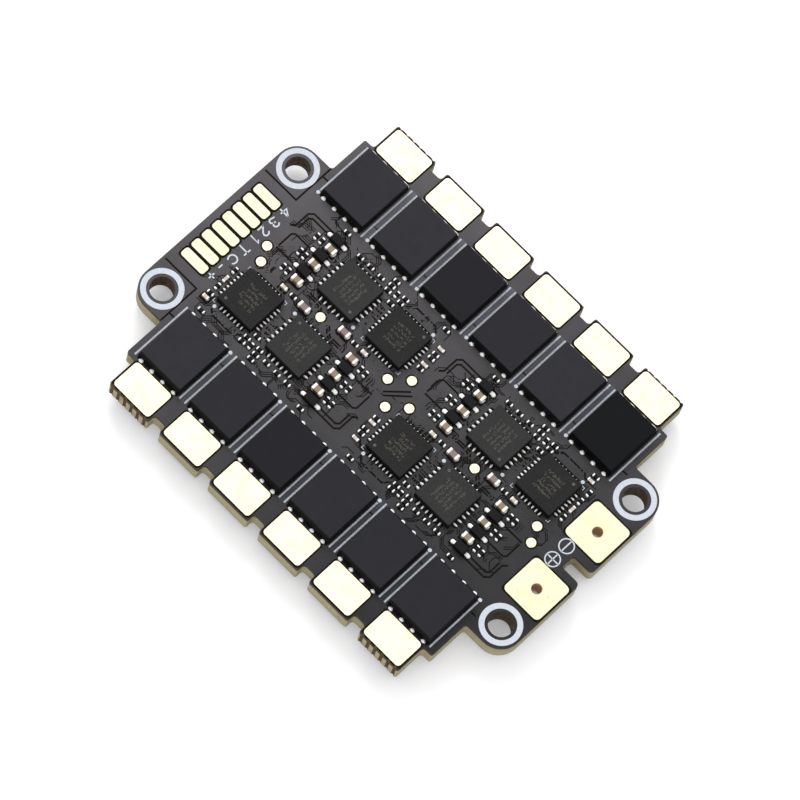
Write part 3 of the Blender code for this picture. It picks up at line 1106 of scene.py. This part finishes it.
def tiny(place, upright=False, pale=False):
    """A 0.6 by 0.3 mm part: two bright soldered ends with a small body between them."""
    x, y = place
    body = bodies_pale if pale else bodies_black
    low = BOARD_TOP + CONTACT_GAP
    bare_and_shaded(place, 0.84, 0.44, upright)
    body.block(x, y, 0.40, 0.28, low, low + 0.2, 0.03, upright)
    for way in (1, -1):
        reach = way * 0.26 * seeded.uniform(0.95, 1.05)
        cx = x + (0 if upright else reach)
        cy = y + (reach if upright else 0)
        heading = QUARTER if upright else 0.0
        tiny_caps.block(cx, cy, 0.14, 0.29, low, low + 0.25, 0.04, upright)
        small_bead(cx, cy, 0.11, 0.15, 0.28, heading)


def diode(place):
    """A black two-lead part with flat silver feet."""
    x, y = place
    low = BOARD_TOP + 0.03
    bare_and_shaded(place, 2.3, 0.6)
    bodies_black.block(x, y, 1.2, 0.8, low, low + 0.6, 0.07)
    for way, heading in ENDS:
        tiny_caps.block(x + way * 0.72, y, 0.42, 0.34, low, low + 0.14, 0.03)
        small_bead(x + way * 0.92, y, 0.2, 0.24, 0.16, heading, 0.2)


for block in BLOCKS:
    for y in (4.79, 2.82, 0.78):
        chip_part(bodies_brown, block.at(-4.04, y), 1.02, 0.6, 0.55, 0.27)
    for y in (5.81, 3.79, 1.78):
        diode(block.at(-4.26, y))
    for y in (4.85, 2.84, 0.84):
        for x in (-5.74, -5.16):
            tiny(block.at(x, y), upright=True)
    for x in (-1.90, -0.70, 0.54):
        tiny(block.at(x, 6.24))
    for x, y, upright in (
        (1.70, 6.38, False),
        (1.75, 5.83, False),
        (2.52, 6.12, True),
        (3.33, 6.38, False),
        (3.26, 5.81, False),
        (2.74, 5.17, False),
    ):
        tiny(block.at(x, y), upright)
    for x in (-4.19, 1.70, 7.58):
        tiny(block.at(x, 6.96))
    chip_part(bodies_grey, block.at(1.93, 0.46), 1.1, 0.58, 0.45, 0.26)
    tiny(block.at(3.25, 0.42))
    chip_part(bodies_pale, block.at(4.35, 0.425), 0.65, 0.35, 0.3, 0.17)
    if block.inner:
        for y, pale in ((5.42, True), (4.75, False), (4.23, False), (3.42, True), (2.92, False)):
            tiny(block.at(8.5, y), False, pale)
    else:
        for y, pale in ((2.4, False), (3.48, True), (4.45, False)):
            tiny(block.at(8.2, y), True, pale)
        if block.sign > 0:
            tiny(block.at(8.2, 5.5), True)
            tiny(block.at(7.54, 6.42), False, True)
        else:
            tiny(block.at(8.17, 5.3))
            chip_part(bodies_pale, block.at(8.2, 5.85), 0.62, 0.34, 0.3, 0.16)

mask_sheet = Shape()
sheet(mask_sheet, *cut_sheet(OUTLINE, openings), BOARD_TOP, MASK_TOP)
piece("solder_mask_sheet", mask_sheet, mask)
piece("ceramic_bodies_brown", bodies_brown, ceramic)
piece("ceramic_bodies_grey", bodies_grey, ceramic_grey)
piece("ceramic_bodies_pale", bodies_pale, ceramic_pale)
piece("small_bodies_black", bodies_black, resistor_black)
piece("part_end_caps", caps, tinned)
piece("tiny_part_caps", tiny_caps, tinned_white)
piece("part_solder", small_solder, solder)


# -------- faint laser marks on the chips

MARK_DEPTH = 0.004
MARK_INK = 0.04
MARK_SPOT = 0.14
MARK_CELL = 0.2088
MARK_ROW = 0.435
SKIPPED = 0.12
laser = Shape()


def mark_field(name, rows, cells, turn):
    """Rows of short plain dashes, which stand for a package's laser marking."""
    x, y, _ = node_centre(name)
    top = node_range(name)[1][2]
    for row in range(rows):
        for cell in range(cells):
            if seeded.random() < SKIPPED:
                continue
            u = (cell - (cells - 1) / 2) * MARK_CELL
            v = (row - (rows - 1) / 2) * MARK_ROW
            for _ in range(3):
                du = seeded.uniform(-0.07, 0.07)
                dv = seeded.uniform(-0.12, 0.12)
                half = seeded.uniform(0.04, 0.09)
                if seeded.random() < 0.5:
                    path = [(u + du - half, v + dv), (u + du + half, v + dv)]
                else:
                    path = [(u + du, v + dv - half), (u + du, v + dv + half)]
                if turn:
                    path = [(-b, a) for a, b in path]
                path = [(x + a, y + b) for a, b in path]
                laser.prism(ribbon(path, MARK_INK), top - 0.01, top + MARK_DEPTH)


for block in BLOCKS:
    mark_field(f"gate_driver_{block.channel}", 5, 11, True)
    mark_field(f"microcontroller_{block.channel}", 5, 9, False)
    for name, dx, dy in (("gate_driver", 1.4, -1.5), ("microcontroller", 1.45, 1.5)):
        x, y, _ = node_centre(f"{name}_{block.channel}")
        top = node_range(f"{name}_{block.channel}")[1][2]
        spot = circle(x + block.sign * dx, y + block.sign * dy, MARK_SPOT, 16)
        laser.prism(spot, top - 0.01, top + MARK_DEPTH)
piece("laser_marks", laser, laser_mark)


# -------- floor, lights, camera


def floor_material():
    """Matt white card with a faint glow of its own."""
    paint = Paint("studio_floor")
    cloud = paint.noise(0.02, 2.0)
    paint.colour(paint.mix(cloud, (0.82, 0.81, 0.82), (0.85, 0.845, 0.85)))
    paint.gloss(0.75, 0.05, 0.3)
    paint.relief((paint.noise(1.5, 2.0), 0.004))
    paint.fixed(specular=0.2)
    paint.surface.inputs["Emission Color"].default_value = (1.0, 1.0, 1.0, 1)
    paint.surface.inputs["Emission Strength"].default_value = 0.25
    return paint.material


# The floor lies a hair below the part, so that no two faces share a plane.
FLOOR_REACH = 3.0
FLOOR = -0.02 * MM
floor_mesh = bpy.data.meshes.new("studio_floor")
corners = [(x * FLOOR_REACH, y * FLOOR_REACH) for x, y in ((-1, -1), (1, -1), (1, 1), (-1, 1))]
floor_mesh.from_pydata([(x, y, FLOOR) for x, y in corners], [], [(0, 1, 2, 3)])
floor_mesh.materials.append(floor_material())
floor = bpy.data.objects.new("studio_floor", floor_mesh)
bpy.context.scene.collection.objects.link(floor)


def soft_light(name, place, size, power):
    """A square softbox at place, in metres, facing the board."""
    data = bpy.data.lights.new(name, "AREA")
    data.shape = "SQUARE"
    data.size = size
    data.energy = power
    lamp = bpy.data.objects.new(name, data)
    lamp.location = place
    facing = -Vector(place)
    lamp.rotation_euler = facing.to_track_quat("-Z", "Y").to_euler()
    bpy.context.scene.collection.objects.link(lamp)


soft_light("key_softbox", (-0.50, 0.42, 0.55), 0.35, 2.3)
soft_light("fill_softbox", (0.18, -0.52, 0.34), 0.40, 1.2)


def studio_air(brightest, low, high, backdrop):
    """Light from all round, from low to high toward brightest, on a plain pale backdrop."""
    world = bpy.data.worlds.new("studio_air")
    world.use_nodes = True
    nodes = world.node_tree.nodes
    links = world.node_tree.links
    air = nodes["Background"]
    air.inputs["Color"].default_value = (0.98, 0.99, 1.0, 1)
    way = nodes.new("ShaderNodeTexCoord").outputs["Generated"]
    lean = nodes.new("ShaderNodeVectorMath")
    lean.operation = "DOT_PRODUCT"
    lean.inputs[1].default_value = Vector(brightest).normalized()
    glow = nodes.new("ShaderNodeMapRange")
    glow.interpolation_type = "SMOOTHSTEP"
    set_range(glow, 0.05, 0.95, low, high)
    sight = nodes.new("ShaderNodeLightPath").outputs["Is Camera Ray"]
    seen = nodes.new("ShaderNodeMix")
    seen.data_type = "FLOAT"
    seen.inputs["B"].default_value = backdrop
    links.new(way, lean.inputs[0])
    links.new(lean.outputs["Value"], glow.inputs["Value"])
    links.new(sight, seen.inputs["Factor"])
    links.new(glow.outputs["Result"], seen.inputs["A"])
    links.new(seen.outputs["Result"], air.inputs["Strength"])
    return world


bpy.context.scene.world = studio_air((-0.28, 0.42, 0.90), 0.12, 1.35, 0.98)
bpy.context.scene.view_settings.view_transform = "Standard"

CAMERA_AIM = Vector((0.458, -0.255, BOARD_TOP)) * MM
CAMERA_DISTANCE = 528.76 * MM
CAMERA_BEARING = math.radians(-63.28)
CAMERA_HEIGHT = math.radians(69.15)
CAMERA_ROLL = math.radians(19.42)


def camera_pose():
    """The camera's pose, looking at its aim from its bearing and height, then rolled."""
    level = Vector((-math.sin(CAMERA_BEARING), math.cos(CAMERA_BEARING), 0))
    back = Vector((level.y, -level.x, math.tan(CAMERA_HEIGHT))).normalized()
    right = level * math.cos(CAMERA_ROLL) + back.cross(level) * math.sin(CAMERA_ROLL)
    pose = Matrix((right, back.cross(right), back)).transposed().to_4x4()
    pose.translation = CAMERA_AIM + back * CAMERA_DISTANCE
    return pose


camera_data = bpy.data.cameras.new("camera")
camera_data.lens = 286.04
camera_data.sensor_width = 36.0
camera_data.clip_start = 0.01
camera_data.clip_end = 20.0
camera = bpy.data.objects.new("camera", camera_data)
camera.matrix_world = camera_pose()
bpy.context.scene.collection.objects.link(camera)
bpy.context.scene.camera = camera
